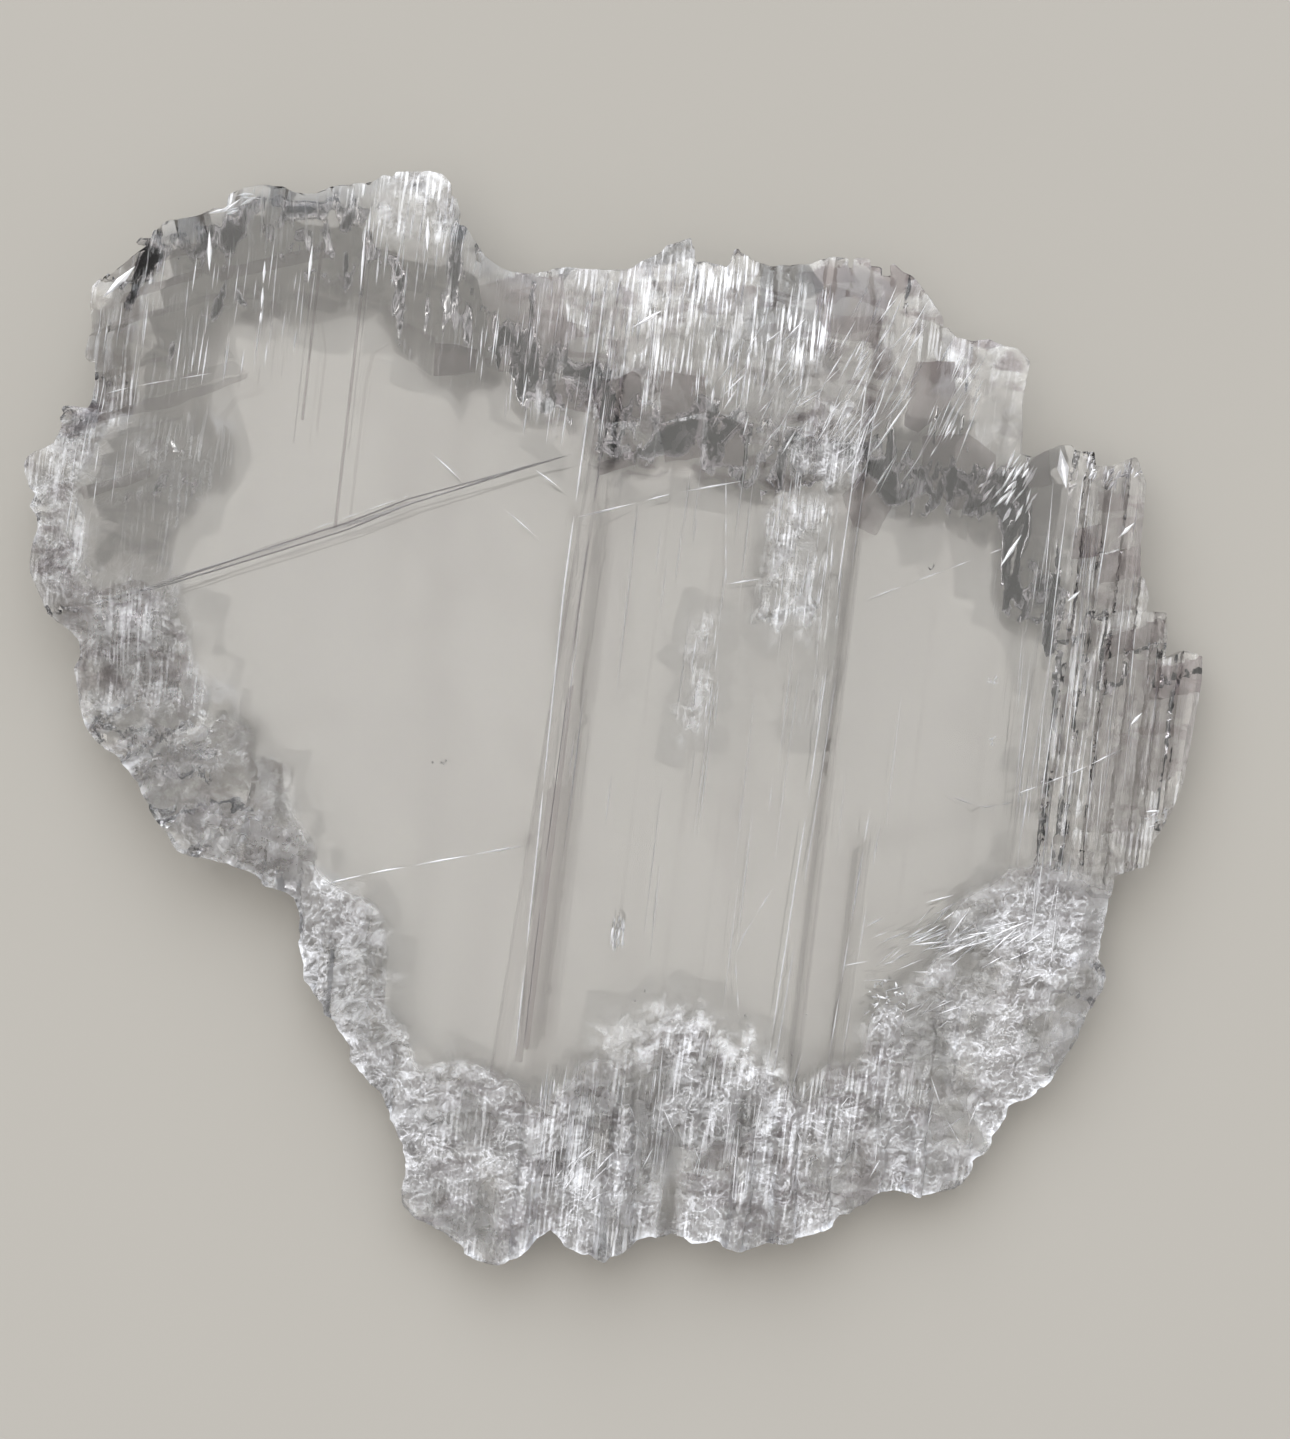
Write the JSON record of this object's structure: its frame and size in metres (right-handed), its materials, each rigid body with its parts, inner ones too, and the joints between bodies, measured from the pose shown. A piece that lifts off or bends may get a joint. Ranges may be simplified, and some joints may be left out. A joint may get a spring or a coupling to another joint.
{
  "type": "selenite slab",
  "caption": "Clear cleavage slab of selenite crystal with flat see-through faces and a broken, fibrous, frosty rim.",
  "frame": {"origin": "middle of the slab's plan box, on the back cleavage face that it lies on", "axes": "+Z out of the front cleavage face, +Y along the height of the slab, which the crystal's fibres follow within 7 degrees, +X along its width"},
  "size_m": [0.15, 0.1388, 0.014],
  "materials": {
    "selenite": "clear polished-looking cleavage faces with faint ledges and veils, silky to sugary white broken rim"
  },
  "bodies": {
    "root": {"selenite_slab": "selenite"}
  },
  "joints": []
}
